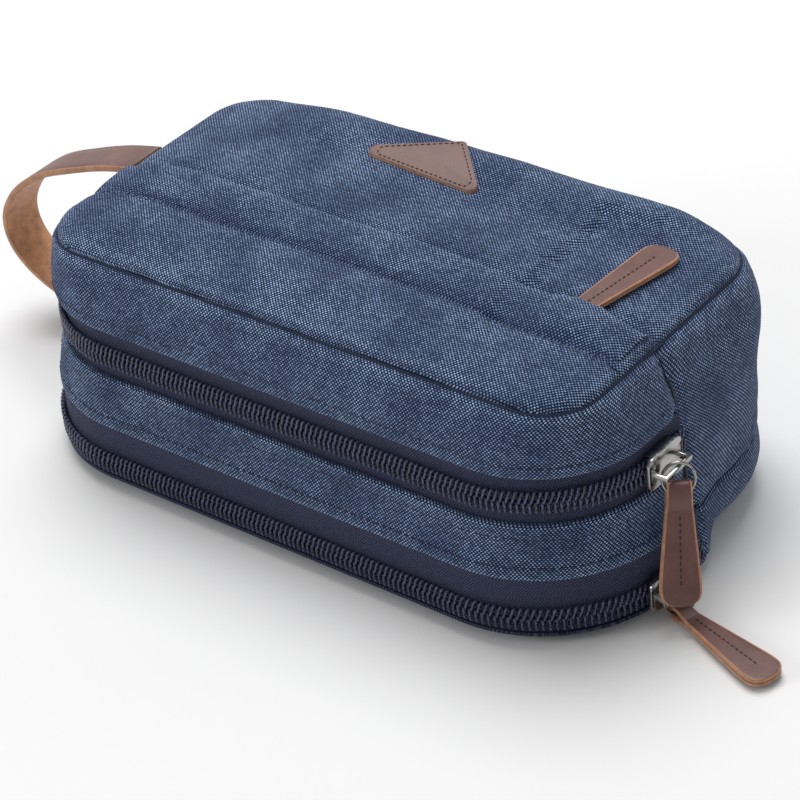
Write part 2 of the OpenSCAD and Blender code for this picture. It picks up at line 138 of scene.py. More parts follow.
class Nodes:
    """Short calls for building a material's node tree."""

    def __init__(self, name):
        self.material = bpy.data.materials.new(name)
        self.material.use_nodes = True
        self.tree = self.material.node_tree
        self.shader = self.tree.nodes["Principled BSDF"]

    def feed(self, socket, value):
        """Links an output to a socket, or sets the socket's own value."""
        if isinstance(value, bpy.types.NodeSocket):
            self.tree.links.new(value, socket)
        elif value is not None:
            socket.default_value = (*value, 1) if socket.type == "RGBA" else value

    def node(self, kind, inputs, **values):
        made = self.tree.nodes.new(kind)
        for key, value in values.items():
            setattr(made, key, value)
        for key, value in inputs.items():
            self.feed(made.inputs[key], value)
        return made

    def math(self, operation, a, b=None):
        return self.node("ShaderNodeMath", {0: a, 1: b}, operation=operation).outputs[0]

    def times(self, a, b):
        return self.math("MULTIPLY", a, b)

    def plus(self, a, b):
        return self.math("ADD", a, b)

    def mix(self, factor, a, b, blend="MIX"):
        inputs = {0: factor, 6: a, 7: b}
        return self.node("ShaderNodeMix", inputs, data_type="RGBA", blend_type=blend).outputs[2]

    def ramp(self, value, low, high, to_low=0.0, to_high=1.0):
        inputs = {"Value": value, "From Min": low, "From Max": high, "To Min": to_low, "To Max": to_high}
        return self.node("ShaderNodeMapRange", inputs, clamp=True).outputs["Result"]

    def noise(self, vector, scale, detail=3.0, rough=0.55):
        inputs = {"Vector": vector, "Scale": scale, "Detail": detail, "Roughness": rough}
        return self.node("ShaderNodeTexNoise", inputs).outputs["Fac"]

    def bump(self, height, strength, distance, before=None):
        inputs = {"Height": height, "Strength": strength, "Distance": distance, "Normal": before}
        return self.node("ShaderNodeBump", inputs).outputs["Normal"]

    def place(self):
        return self.node("ShaderNodeTexCoord", {}).outputs["Object"]

    def cloth_place(self):
        """The cloth's own place in millimetres, from the piece's weave map."""
        return self.node("ShaderNodeUVMap", {}, uv_map="weave").outputs["UV"]

    def split(self, vector):
        return self.node("ShaderNodeSeparateXYZ", {0: vector}).outputs

    def stretch(self, vector, scale):
        return self.node("ShaderNodeMapping", {"Vector": vector, "Scale": scale}).outputs["Vector"]

    def finish(self, **inputs):
        for name, value in inputs.items():
            self.feed(self.shader.inputs[SHADER_INPUTS[name]], value)
        return self.material


def toned(colour, factor):
    return tuple(min(c * factor, 1) for c in colour)


def canvas_material(name, dark, light):
    """Plain weave of a dark warp and a pale weft, with slubs, blotchy fading, worn creases, painted shade in
    the hollows between threads, and painted shade and painted highlight carried by the wear attribute.
    """
    pitch, thread_curve, cell_curve = 0.70, 3.4, 1.2
    n = Nodes(name)
    place = n.cloth_place()
    u, v = (n.math("DIVIDE", axis, pitch) for axis in n.split(place)[:2])
    column, row = n.math("FLOOR", u), n.math("FLOOR", v)
    weft_up = n.math("FLOORED_MODULO", n.plus(column, row), 2.0)
    off_u, off_v = (n.math("SUBTRACT", n.math("FRACT", axis), 0.5) for axis in (u, v))
    across, along = n.times(off_u, off_u), n.times(off_v, off_v)
    warp_dome, weft_dome = (n.math("SUBTRACT", 1.0, n.times(off, thread_curve)) for off in (across, along))
    dome = n.node("ShaderNodeMix", {0: weft_up, 2: warp_dome, 3: weft_dome}, data_type="FLOAT").outputs[0]
    height = n.math("SUBTRACT", dome, n.times(n.plus(across, along), cell_curve))
    slub_u, slub_v = (n.noise(n.stretch(place, scale), 1.0, 2.0)
                      for scale in ((0.14, 1.6, 1), (1.6, 0.14, 1)))
    crossing = n.node("ShaderNodeCombineXYZ", {0: column, 1: row}).outputs[0]
    chance = n.node("ShaderNodeTexWhiteNoise", {"Vector": crossing}, noise_dimensions="2D").outputs["Value"]
    # Blotchy fading from noise, plus the wear attribute: real wear, and painted shade and painted highlight.
    wear_and_painted_light = n.node("ShaderNodeAttribute", {}, attribute_name="wear_and_painted_light").outputs["Fac"]
    fading_wear_and_painted_light = n.plus(n.noise(place, 0.035, 5.0, 0.65), n.times(wear_and_painted_light, 0.3))
    fleck = weft_up
    for cause, low, high, least, most in ((slub_u, 0.3, 0.72, 0.7, 1.1), (chance, 0.0, 1.0, 0.45, 1.15),
                                          (fading_wear_and_painted_light, 0.35, 0.72, 0.7, 1.25), (height, 0.2, 0.78, 0.0, 1.0),
                                          (n.noise(place, 0.9, 2.0, 0.6), 0.3, 0.7, 0.7, 1.2)):
        fleck = n.times(fleck, n.ramp(cause, low, high, least, most))
    warp_tone = n.mix(n.ramp(slub_v, 0.3, 0.7), toned(dark, 0.72), toned(dark, 1.3))
    weft_tone = n.mix(n.ramp(fading_wear_and_painted_light, 0.38, 0.68), toned(light, 0.85), toned(light, 1.3))
    # Painted shade: the colour darkens towards the hollows between the threads.
    gap = n.ramp(height, -0.35, 0.25, 0.35, 1.0)
    tone = n.mix(1.0, n.mix(fleck, warp_tone, weft_tone), gap, "MULTIPLY")
    soft = n.bump(n.noise(place, 0.12, 5.0, 0.6), 0.5, 0.0012)
    return n.finish(colour=tone, roughness=0.92, normal=n.bump(height, 0.75, 0.00022, soft), sheen=0.06,
                    specular=0.2)


def leather_material(name, colour, roughness=0.42):
    n = Nodes(name)
    place = n.place()
    cells = n.node("ShaderNodeTexVoronoi", {"Scale": 1500, "Vector": place}, feature="F1").outputs["Distance"]
    pores, blotch = n.noise(place, 900), n.noise(place, 70, 4.0, 0.6)
    tone = n.mix(n.ramp(blotch, 0.3, 0.7), toned(colour, 0.78), toned(colour, 1.22))
    tone = n.mix(n.ramp(pores, 0.6, 0.75, 0.0, 0.45), tone, toned(colour, 0.5))
    soft = n.bump(n.noise(place, 160, 2.0), 0.2, 0.0004)
    return n.finish(colour=tone, roughness=n.ramp(blotch, 0.3, 0.7, roughness - 0.06, roughness + 0.08),
                    normal=n.bump(n.plus(n.times(cells, 0.7), pores), 0.35, 0.00015, soft))


def suede_material(name, colour):
    """Raw flesh side and cut edges of leather: short fibres, mottled."""
    n = Nodes(name)
    place = n.place()
    fibres, mottle = n.noise(place, 1300, 5.0, 0.7), n.noise(place, 260, 4.0, 0.65)
    tone = n.mix(n.ramp(mottle, 0.32, 0.68), toned(colour, 0.62), toned(colour, 1.25))
    tone = n.mix(n.ramp(fibres, 0.35, 0.7, 0.0, 0.5), tone, toned(colour, 1.5))
    return n.finish(colour=tone, roughness=0.95, normal=n.bump(fibres, 0.6, 0.0003), sheen=0.3,
                    sheen_roughness=0.6)


def metal_material(name):
    n = Nodes(name)
    place = n.place()
    smudge = n.noise(place, 220, 4.0, 0.6)
    scratch = n.noise(n.stretch(place, (1, 1, 14)), 500, 2.0)
    tone = n.mix(n.ramp(smudge, 0.3, 0.7), (0.30, 0.29, 0.285), (0.50, 0.49, 0.48))
    return n.finish(colour=tone, roughness=n.ramp(smudge, 0.3, 0.7, 0.12, 0.28), metallic=1.0,
                    normal=n.bump(n.plus(smudge, n.times(scratch, 0.4)), 0.12, 0.0002))


def coil_material(name):
    n = Nodes(name)
    lines = n.noise(n.place(), 900)
    tone = n.mix(n.ramp(lines, 0.35, 0.7), (0.014, 0.019, 0.055), (0.085, 0.092, 0.185))
    return n.finish(colour=tone, roughness=n.ramp(lines, 0.3, 0.7, 0.22, 0.4), specular=0.6,
                    normal=n.bump(lines, 0.25, 0.0001))


def tape_material(name):
    """Herringbone tape: slanted ribs that turn back at every fold."""
    fold_w, rib_w, thread_w = 2.4, 1.1, 0.35
    n = Nodes(name)
    place = n.cloth_place()
    u, v, _ = n.split(place)
    ribs = n.math("SINE", n.times(n.plus(u, n.math("PINGPONG", v, fold_w)), 2 * math.pi / rib_w))
    threads = n.math("SINE", n.times(v, 2 * math.pi / thread_w))
    tone = n.mix(n.ramp(ribs, -0.8, 0.8), (0.004, 0.006, 0.024), (0.07, 0.082, 0.165))
    tone = n.mix(n.ramp(n.noise(place, 1.4), 0.5, 0.8, 0.0, 0.5), tone, (0.055, 0.065, 0.13))
    return n.finish(colour=tone, roughness=0.8, sheen=0.03, specular=0.3,
                    normal=n.bump(n.plus(ribs, n.times(threads, 0.25)), 0.8, 0.0003))


def thread_material(name, colour):
    n = Nodes(name)
    twist = n.math("SINE", n.times(n.split(n.place())[0], 9000))
    tone = n.mix(n.ramp(twist, -1, 1), toned(colour, 0.6), colour)
    return n.finish(colour=tone, roughness=0.7, normal=n.bump(twist, 0.3, 0.0001))


def lining_material(name):
    n = Nodes(name)
    place = n.place()
    x, y, z = n.split(place)
    twill = n.math("SINE", n.times(n.plus(n.plus(x, y), z), 9000))
    cloud = n.noise(place, 40)
    tone = n.mix(n.ramp(cloud, 0.3, 0.7), (0.05, 0.06, 0.08), (0.085, 0.1, 0.125))
    tone = n.mix(n.ramp(twill, -1, 1, 0, 0.35), tone, (0.03, 0.035, 0.05))
    return n.finish(colour=tone, roughness=0.7, normal=n.bump(twill, 0.3, 0.0001, n.bump(cloud, 0.4, 0.002)))


def foam_material(name, colour):
    n = Nodes(name)
    cells = n.noise(n.place(), 1500)
    tone = n.mix(n.ramp(cells, 0.3, 0.7), toned(colour, 0.8), colour)
    return n.finish(colour=tone, roughness=0.95, normal=n.bump(cells, 0.5, 0.0004))


def make_materials():
    return {
        "canvas": canvas_material("navy_canvas_weave", (0.004, 0.014, 0.050), (0.365, 0.51, 0.88)),
        "leather": leather_material("brown_leather_face", (0.150, 0.064, 0.054)),
        "strap": leather_material("brown_strap_face", (0.19, 0.105, 0.092), 0.5),
        "tan": suede_material("tan_leather_edge", (0.42, 0.20, 0.10)),
        "suede": suede_material("tan_suede", (0.62, 0.30, 0.145)),
        "nickel": metal_material("nickel_plate"),
        "coil": coil_material("nylon_coil_teeth"),
        "tape": tape_material("herringbone_tape"),
        "brown_thread": thread_material("dark_brown_thread", (0.03, 0.014, 0.012)),
        "coil_thread": thread_material("coil_thread", (0.008, 0.010, 0.026)),
        "navy_thread": thread_material("navy_thread", (0.028, 0.04, 0.085)),
        "lining": lining_material("twill_lining"),
        "foam": foam_material("foam_cells", (0.05, 0.055, 0.07)),
        "binding": foam_material("navy_binding", (0.016, 0.027, 0.062)),
        "board": foam_material("fibre_board_face", (0.12, 0.115, 0.11)),
    }


# ---------------------------------------------------------------- meshes
def shade(mesh, angle):
    """Smooth shading, sharp where faces meet at more than angle degrees."""
    mesh.shade_smooth()
    mesh.set_sharp_from_angle(angle=math.radians(angle))


def new_piece(name, points, faces, materials, kinds=None, weave=None, wear_and_painted_light=None, angle=40):
    """A mesh piece from points in millimetres. kinds numbers each face's material, weave holds each point's
    place in the cloth, and wear how worn each point is, with painted shade and painted highlight added in."""
    mesh = bpy.data.meshes.new(name)
    mesh.from_pydata((np.asarray(points, float) * MM).tolist(), [], [tuple(f) for f in faces])
    for material in materials:
        mesh.materials.append(MAT[material])
    if kinds is not None:
        mesh.polygons.foreach_set("material_index", np.asarray(kinds, np.int32))
    if weave is not None:
        corners = np.empty(len(mesh.loops), np.int32)
        mesh.loops.foreach_get("vertex_index", corners)
        places = np.reshape(weave, (-1, 2))[corners].astype(np.float32)
        mesh.uv_layers.new(name="weave").data.foreach_set("uv", places.ravel())
    if wear_and_painted_light is not None:
        wear_and_painted_light_values = np.asarray(wear_and_painted_light, np.float32).ravel()
        mesh.attributes.new("wear_and_painted_light", "FLOAT", "POINT").data.foreach_set("value", wear_and_painted_light_values)
    mesh.update()
    shade(mesh, angle)
    piece = bpy.data.objects.new(name, mesh)
    scene.collection.objects.link(piece)
    return piece


def settle(piece, slot, moves_with, *nodes):
    """A piece's finish, which is not used; the body it moves with, or a fold, which only bakes the piece
    where it stands; and the CAD nodes it stands for.
    """
    if isinstance(moves_with, str):
        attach(piece, moves_with)
    else:
        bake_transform(piece)
    if nodes:
        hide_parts(*nodes)


def apply_modifiers(piece):
    graph = bpy.context.evaluated_depsgraph_get()
    mesh = bpy.data.meshes.new_from_object(piece.evaluated_get(graph), depsgraph=graph)
    mesh.name = piece.name
    piece.modifiers.clear()
    piece.data = mesh


def grid_faces(rows, columns, wrap=False, flip=False):
    """Quads over a grid of points, facing the cross product of the row and column directions."""
    faces = []
    for i in range(rows - 1):
        for j in range(columns if wrap else columns - 1):
            here, beside = i * columns + j, i * columns + (j + 1) % columns
            quad = (here, here + columns, beside + columns, beside)
            faces.append(quad[::-1] if flip else quad)
    return faces


def ring_faces(rings, sides, first=0, closed=False):
    """Quads along a row of rings of points, and a cap on each end unless the row closes on itself."""
    faces = []
    for i in range(rings if closed else rings - 1):
        here, there = first + i * sides, first + (i + 1) % rings * sides
        for j in range(sides):
            k = (j + 1) % sides
            faces.append((here + j, here + k, there + k, there + j))
    if not closed:
        last = first + (rings - 1) * sides
        faces += [tuple(range(first, first + sides))[::-1], tuple(range(last, last + sides))]
    return faces


def close_centre(ring, base):
    """Faces that join the two sides of a grid's innermost ring, whose first point is number base."""
    columns = len(ring)
    faces = []
    for j in range(columns):
        k = (j + 1) % columns
        quad = tuple(dict.fromkeys((base + k, base + j, base + (-j) % columns, base + (-k) % columns)))
        if ring[j, 1] < 0 and len(quad) > 2:
            faces.append(quad)
    return faces


def bmesh_of(piece):
    bm = bmesh.new()
    bm.from_mesh(piece.data)
    return bm


def bisect(bm, point, normal, **options):
    geometry = bm.verts[:] + bm.edges[:] + bm.faces[:]
    bmesh.ops.bisect_plane(bm, geom=geometry, dist=1e-7, plane_co=Vector(point) * MM, plane_no=Vector(normal),
                           **options)


def keep_side(piece, y, side):
    """Cuts a piece by an upright plane across the bag, and keeps what is behind (+1) or in front (-1)."""
    bm = bmesh_of(piece)
    bisect(bm, (0, y, 0), (0, side, 0), clear_inner=True)
    bm.to_mesh(piece.data)
    bm.free()


def cut_hole(piece, half_x, back_y):
    """Cuts away what lies between -half_x and half_x in front of back_y."""
    bm = bmesh_of(piece)
    for point, normal in (((half_x, 0, 0), (1, 0, 0)), ((-half_x, 0, 0), (1, 0, 0)),
                          ((0, back_y, 0), (0, 1, 0))):
        bisect(bm, point, normal)
    middles = [(face, face.calc_center_median() / MM) for face in bm.faces]
    inside = [face for face, middle in middles if abs(middle.x) < half_x and middle.y < back_y]
    bmesh.ops.delete(bm, geom=inside, context="FACES")
    bm.to_mesh(piece.data)
    bm.free()


def tree_of(piece):
    bm = bmesh_of(piece)
    tree = BVHTree.FromBMesh(bm)
    bm.free()
    return tree


def thicken(piece, thickness=CANVAS_T):
    mod = piece.modifiers.new("thickness", "SOLIDIFY")
    mod.thickness = thickness * MM
    mod.offset = -1
    apply_modifiers(piece)
    shade(piece.data, 50)


def unit(vectors):
    return vectors / np.maximum(np.linalg.norm(vectors, axis=-1, keepdims=True), 1e-9)


def tube(name, centre, radius, sides, material, closed=False):
    """A round bar along a line of points, without twist."""
    tangent = unit(np.gradient(centre, axis=0))
    guide = np.tile(np.array([0.0, 0.0, 1.0]), (len(centre), 1))
    guide[np.abs(tangent[:, 2]) > 0.9] = (1.0, 0.0, 0.0)
    first = unit(np.cross(tangent, guide))
    for i in range(1, len(first)):
        kept = first[i - 1] - tangent[i] * np.dot(first[i - 1], tangent[i])
        size = np.linalg.norm(kept)
        if size > 1e-6:
            first[i] = kept / size
    second = np.cross(tangent, first)
    angles = (np.arange(sides) * 2 * math.pi / sides)[None, :, None]
    ring = (first[:, None, :] * np.cos(angles) + second[:, None, :] * np.sin(angles)) * radius
    points = (centre[:, None, :] + ring).reshape(-1, 3)
    return new_piece(name, points, ring_faces(len(centre), sides, closed=closed), [material], angle=80)


# ---------------------------------------------------------------- the skin of the bag
# Each level of the walls: its height, how far it stands out from the nominal outline, and its corner radius
LEVELS = np.array([
    (0.0, -0.8, CORNER), (4.2, FLARE - 0.7, CORNER + 5), (LOW_ZIP, FLARE - 0.9, CORNER + FLARE - 1.2),
    (DIVIDER_Z, 3.8, CORNER + 4), (40.0, 0.8, CORNER + 1), (UP_ZIP, -1.2, CORNER - 1.2),
    (UP_ZIP + 17, -3.4, CORNER - 11), (SEAM_Z, -SEAM_INSET, SEAM_CORNER)])
REAR_LEVELS = np.array([
    (0.0, -9.5, CORNER - 7), (4.2, -5.0, CORNER - 3), (LOW_ZIP, -0.3, CORNER + 2),
    (DIVIDER_Z, 1.2, CORNER + 6), (40.0, 1.1, CORNER + 4), (UP_ZIP, -0.2, CORNER - 2),
    (UP_ZIP + 17, -2.6, CORNER - 13), (SEAM_Z, -SEAM_INSET, SEAM_CORNER)])
SIDE = WID / 2 - CORNER
FRONT = LEN - 2 * CORNER
ARC = CORNER * math.pi / 2
SPANS = np.cumsum([0, SIDE, ARC, FRONT, ARC, 2 * SIDE, ARC, FRONT, ARC, SIDE])
ROUND = float(SPANS[-1])
COARSE_P = np.arange(0, ROUND, ROUND / 152)
COARSE_Z = np.array([4.2, 8, 11, 16, 21, 26, 30.5, 35, 39.5, 43, 46.7, 51, 56, 61, 65.3, 69.5, 74, 78.5, 82.5,
                     86.5, 90])
COARSE_TOP = np.array([4, 8, 12.5, 17, 22, 27, 32, 37, 42, 47, 52, 57, 61.5])
FINE_P = np.arange(0, ROUND, ROUND / 364)


def smooth_between(levels, z, column):
    """Level value at height z, on a smooth curve through the levels."""
    zs, values = levels[:, 0], levels[:, column]
    slopes = np.gradient(values, zs)
    i = int(np.clip(np.searchsorted(zs, z, side="right") - 1, 0, len(zs) - 2))
    h = zs[i + 1] - zs[i]
    t = (z - zs[i]) / h
    return ((2 * t**3 - 3 * t**2 + 1) * values[i] + (t**3 - 2 * t**2 + t) * h * slopes[i]
            + (3 * t**2 - 2 * t**3) * values[i + 1] + (t**3 - t**2) * h * slopes[i + 1])


def ease(t):
    t = np.clip(t, 0, 1)
    return t * t * (3 - 2 * t)


def dip(distance, width):
    """1 on a seam and 0 beyond width from it, rounded."""
    return np.clip(1 - np.abs(distance) / width, 0, 1) ** 2


def outline(p, half_x, half_y, r):
    """Points round a rounded rectangle, clockwise from the middle of its +X end, and outward directions."""
    p = np.asarray(p, float) % ROUND
    span = np.clip(np.searchsorted(SPANS, p, side="right") - 1, 0, 8)
    t = (p - SPANS[span]) / (SPANS[span + 1] - SPANS[span])
    cx, cy = half_x - r, half_y - r
    start = np.radians([0, 0, -90, -90, -180, -180, -270, -270, -360])
    turn = np.radians([0, -90, 0, -90, 0, -90, 0, -90, 0])
    angle = start[span] + turn[span] * t
    out = np.stack([np.cos(angle), np.sin(angle)], -1)
    bx = cx * np.array([1, 1, 0, -1, -1, -1, 0, 1, 1])[span]
    by = cy * np.array([0, -1, -1, -1, 0, 1, 1, 1, 0])[span]
    bx = np.where(span == 2, cx * (1 - 2 * t), np.where(span == 6, cx * (2 * t - 1), bx))
    by = np.where(span == 8, cy * (1 - t), by)
    by = np.where(span == 0, -cy * t, np.where(span == 4, cy * (2 * t - 1), by))
    return np.stack([bx, by], -1) + out * r, out


def wall_rows(p, heights, out=0.0):
    """Grid of wall points, a row for each height. The front turns into the rear just behind the end seams."""
    blend_w = 22
    rows = []
    for z in heights:
        sides = []
        for levels in (LEVELS, REAR_LEVELS):
            grow, r = (smooth_between(levels, z, column) + out for column in (1, 2))
            sides.append(outline(p, LEN / 2 + grow, WID / 2 + grow, max(r, 1))[0])
        front, back = sides
        rear = ease((front[:, 1:] - END_SEAM_Y) / blend_w)
        rows.append(np.column_stack([front * (1 - rear) + back * rear, np.full(len(front), z)]))
    return np.array(rows)


def crown_height(x, y, inset):
    """Height of the top: round at its edge, raised in the middle, fuller along the rear."""
    rise = CROWN * (1 - np.exp(-inset / 5.5))
    middle = 1.6 * np.clip(1 - (x / 118) ** 2, 0, 1) * np.clip(1 - (y / 60) ** 2, 0, 1)
    full = ease((y - 26) / 28) * ease(inset / 7)
    back = 4.8 * ease((x + 112) / 50) * (1 - ease((x - 84) / 28)) + 1.2 * np.exp(-((x - 20) / 62) ** 2)
    return SEAM_Z + rise + middle * (1 - ease((x - 40) / 40)) + back * full


def top_rows(p, insets):
    """Grid of points on the top, one ring for each inset from its seam."""
    rows = []
    for inset in insets:
        half_y = TOP_Y - inset
        r = min(max(SEAM_CORNER - inset * 0.45, 2.0), half_y * 0.98)
        xy = outline(p, TOP_X - inset, half_y, r)[0]
        rows.append(np.column_stack([xy, crown_height(xy[:, 0], xy[:, 1], inset)]))
    return np.array(rows)


def pin_weights(points, heights):
    """How firmly each point of the skin is held: zips and seams stay, panels swell."""
    y = points[..., 1]
    z = np.array(heights)[:, None] * np.ones(points.shape[1])
    weight = np.zeros(points.shape[:2])
    weight[z <= DIVIDER_Z] = 1
    near_zip = (z > BAND_EDGE - 1) & (z < LID_EDGE + 1)
    weight[near_zip & (y < END_SEAM_Y + 3)] = 1
    weight[np.abs(z - SEAM_Z) < 0.5] = 0.85
    weight[(np.abs(y - END_SEAM_Y) < 3) & (z < SEAM_Z)] = 0.8
    return weight


def simulate(points, weights, frames=20):
    """Cloth simulation of the whole skin under pressure: how far each point moved, in millimetres."""
    flat = points.reshape(-1, 3)
    skin = new_piece("skin_sim", flat, grid_faces(*weights.shape, wrap=True), [])
    group = skin.vertex_groups.new(name="held")
    for index, weight in enumerate(weights.ravel()):
        if weight > 0:
            group.add([index], float(weight), "REPLACE")
    mod = skin.modifiers.new("cloth", "CLOTH")
    cloth = mod.settings
    cloth.quality = 6
    cloth.mass = 0.25
    cloth.tension_stiffness = cloth.compression_stiffness = 18
    cloth.shear_stiffness = 8
    cloth.bending_stiffness = 4
    cloth.use_pressure = True
    cloth.uniform_pressure_force = 4
    cloth.shrink_min = -0.008
    cloth.effector_weights.gravity = 0
    cloth.vertex_group_mass = "held"
    mod.collision_settings.use_collision = False
    mod.point_cache.frame_start, mod.point_cache.frame_end = 1, frames
    for number in range(1, frames + 1):
        scene.frame_set(number)
    result = skin.evaluated_get(bpy.context.evaluated_depsgraph_get()).data
    ends = np.empty(flat.size)
    result.vertices.foreach_get("co", ends)
    moved = (ends.reshape(-1, 3) / MM - flat).reshape(points.shape)
    scene.frame_set(1)
    bpy.data.objects.remove(skin, do_unlink=True)
    return moved


def swell(points, weights):
    """The simulated swelling, smoothed, mostly outward, and capped."""
    inward_most, cap = 0.2, 2.4
    moved = simulate(points, weights)
    for _ in range(3):
        moved = 0.5 * moved + 0.25 * (np.roll(moved, 1, axis=1) + np.roll(moved, -1, axis=1))
        moved[1:-1] = 0.5 * moved[1:-1] + 0.25 * (moved[:-2] + moved[2:])
    moved *= (1 - weights[..., None])
    normals = grid_normals(points)
    outward = (moved * normals).sum(axis=2, keepdims=True)
    moved -= np.minimum(outward + inward_most, 0) * normals
    length = np.linalg.norm(moved, axis=2, keepdims=True)
    moved *= cap * np.tanh(length / cap) / np.maximum(length, 1e-9)
    under_pull = (points[..., 0] > 66) & (points[..., 1] < 46) & (points[..., 2] > SEAM_Z + 3)
    moved[under_pull, 2] = np.minimum(moved[under_pull, 2], 0)
    return moved


class Skin:
    """The swollen skin: positions at any distance round the bag, and any height or inset."""

    def __init__(self):
        coarse = np.concatenate([wall_rows(COARSE_P, COARSE_Z), top_rows(COARSE_P, COARSE_TOP)])
        self.path = np.concatenate([COARSE_Z, SEAM_Z + COARSE_TOP])
        moved = swell(coarse, pin_weights(coarse, self.path))
        self.moved = np.concatenate([moved, moved[:, :1]], axis=1)

    def shift(self, p, s):
        """Movement at distance p round the bag and path s, smoothly between the simulated points."""
        at = (np.asarray(p) % ROUND) / ROUND * len(COARSE_P)
        left = np.clip(np.floor(at).astype(int), 0, len(COARSE_P) - 1)
        t = ease(at - left)[:, None]
        s = float(np.clip(s, self.path[0], self.path[-1]))
        row = min(int(np.searchsorted(self.path, s, side="right")) - 1, len(self.path) - 2)
        q = ease((s - self.path[row]) / (self.path[row + 1] - self.path[row]))
        low, high = (self.moved[r][left] * (1 - t) + self.moved[r][left + 1] * t for r in (row, row + 1))
        return low * (1 - q) + high * q

    def wall(self, p, heights, out=0.0):
        return wall_rows(p, heights, out) + np.array([self.shift(p, z) for z in heights])

    def top(self, p, insets):
        return top_rows(p, insets) + np.array([self.shift(p, SEAM_Z + inset) for inset in insets])


def grid_normals(grid):
    around = np.roll(grid, -1, axis=1) - np.roll(grid, 1, axis=1)
    return unit(np.cross(np.gradient(grid, axis=0), around))


def seam_slant():
    """Directions, half outward and half up, at each fine step round the top seam."""
    out = outline(FINE_P, TOP_X, TOP_Y, SEAM_CORNER)[1]
    return np.column_stack([out, np.ones(len(out))]) / math.sqrt(2)


def towards_seam(normals, distance):
    """Turns the normals near the top seam to the slanting direction that both of its panels share."""
    near = dip(distance, 4.0)[:, None, None]
    return normals * (1 - near) + seam_slant() * near


def creases(points, scale, seed, stretch=(1, 1, 1)):
    """Soft ridged noise at each point, between -1 and 1."""
    flat = points.reshape(-1, 3) * np.array(stretch) / scale
    out = [noise.noise(Vector((x + seed, y - seed, z + 2 * seed))) for x, y, z in flat]
    return np.array(out).reshape(points.shape[:-1])


def wrinkle(grid, normals, held):
    """Lengthwise soft folds, small puckers and dents, less where the cloth is held by a seam."""
    broad = creases(grid, 42, 3.1)
    folds = creases(grid, 17, 8.7, (0.6, 0.6, 1.5))
    puckers = creases(grid, 6.5, 5.3)
    height = np.maximum(1.1 * broad + 0.55 * folds + 0.15 * puckers, -0.4)
    return grid + normals * (height * held[:, None])[..., None]


# ---------------------------------------------------------------- canvas panels
SEAM_DEPTH, SEAM_W, SEAM_WEAR = 2.3, 2.8, 3.2
HEM_W, HEM_STITCH, HEM_TURN = 6.4, 5.2, 3.2
EDGE_STEPS = (0, 0.45, 1.0, 1.8, 2.8, 4.2, 5.6)


def spread(low, high, step=2.0):
    """Heights between low and high, closer together near both edges."""
    near = [low + e for e in EDGE_STEPS] + [high - e for e in EDGE_STEPS]
    middle = np.arange(low + EDGE_STEPS[-1] + step, high - EDGE_STEPS[-1] - step * 0.5, step)
    return np.array(sorted(set(np.round([*near, *middle], 4))))


def lengths_round(grid):
    """Length along each row from the middle of the front, and each row's length all round."""
    steps = np.linalg.norm(np.roll(grid, -1, axis=1) - grid, axis=2)
    totals = steps.sum(axis=1)
    run = np.concatenate([np.zeros((len(grid), 1)), np.cumsum(steps, axis=1)[:, :-1]], axis=1)
    middle = int(np.argmin(np.abs(FINE_P - (SIDE + ARC + FRONT / 2))))
    run = run - run[:, middle:middle + 1]
    return np.where(run > totals[:, None] / 2, run - totals[:, None], run), totals


def mend_wrap(piece, totals):
    """The weave map jumps back at the middle of the rear: carries it on there."""
    layer = piece.data.uv_layers["weave"].data
    for face in piece.data.polygons:
        us = [layer[i].uv[0] for i in face.loop_indices]
        if max(us) - min(us) > ROUND / 2:
            for i, vertex in zip(face.loop_indices, face.vertices):
                if layer[i].uv[0] < 0:
                    layer[i].uv[0] += totals[vertex // len(FINE_P)]


def wall_panel(skin, name, low, high, side, low_hem=False, high_hem=False):
    """One band of canvas between two heights, cut at the end seams: side +1 is the rear, -1 the front. A hem
    has a doubled edge, a stitch groove and a lip turned inwards. Any other edge dips into its seam."""
    heights = spread(low, high)
    grid = skin.wall(FINE_P, heights)
    normals = towards_seam(grid_normals(grid), SEAM_Z - heights)
    grid = wrinkle(grid, normals, ease(np.minimum(heights - low, high - heights) / 9))
    rise = np.zeros(len(heights))
    for edge, hem in ((heights - low, low_hem), (high - heights, high_hem)):
        if hem:
            doubled = 0.35 * np.clip((HEM_W - edge) / 1.2, 0, 1)
            rise += doubled - 0.5 * dip(edge - HEM_STITCH, 1.1) - dip(edge, 1.4)
        else:
            rise += -SEAM_DEPTH * dip(edge, SEAM_W)
    on_end = np.abs(grid[..., 0]) > LEN / 2 - 30
    rise = rise[:, None] - 3.0 * dip(grid[..., 1] - END_SEAM_Y, 5.0) * on_end
    grid = grid + normals * rise[..., None]
    turned_in = np.array((1 - HEM_TURN / 110, 1 - HEM_TURN / 70, 1))
    for hem, row, way in ((low_hem, 0, -1), (high_hem, -1, 1)):
        if hem:
            where = 0 if row == 0 else len(grid)
            grid = np.insert(grid, where, grid[row] * turned_in - (0, 0, 0.9 * way), axis=0)
            heights = np.insert(heights, where, heights[row] + HEM_TURN * way)
    wear_and_painted_light = 0.8 * dip(SEAM_Z - SEAM_WEAR - heights, 2.2)
    for edge, hem in ((heights - low, low_hem), (high - heights, high_hem)):
        wear_and_painted_light += 0.7 * dip(edge - 0.8, 1.4) * hem
    run, totals = lengths_round(grid)
    weave = np.stack([run, np.broadcast_to(heights[:, None], run.shape)], -1)
    piece = new_piece(name, grid.reshape(-1, 3), grid_faces(*run.shape, wrap=True), ["canvas"], weave=weave,
                      wear_and_painted_light=np.broadcast_to(wear_and_painted_light[:, None], run.shape))
    mend_wrap(piece, totals)
    keep_side(piece, END_SEAM_Y + 0.2 * side, side)
    return piece


def finish_canvas(piece, moves_with, *nodes, foam_backed=False):
    thicken(piece)
    piece.data.validate()
    settle(piece, "navy_canvas", moves_with, *nodes)


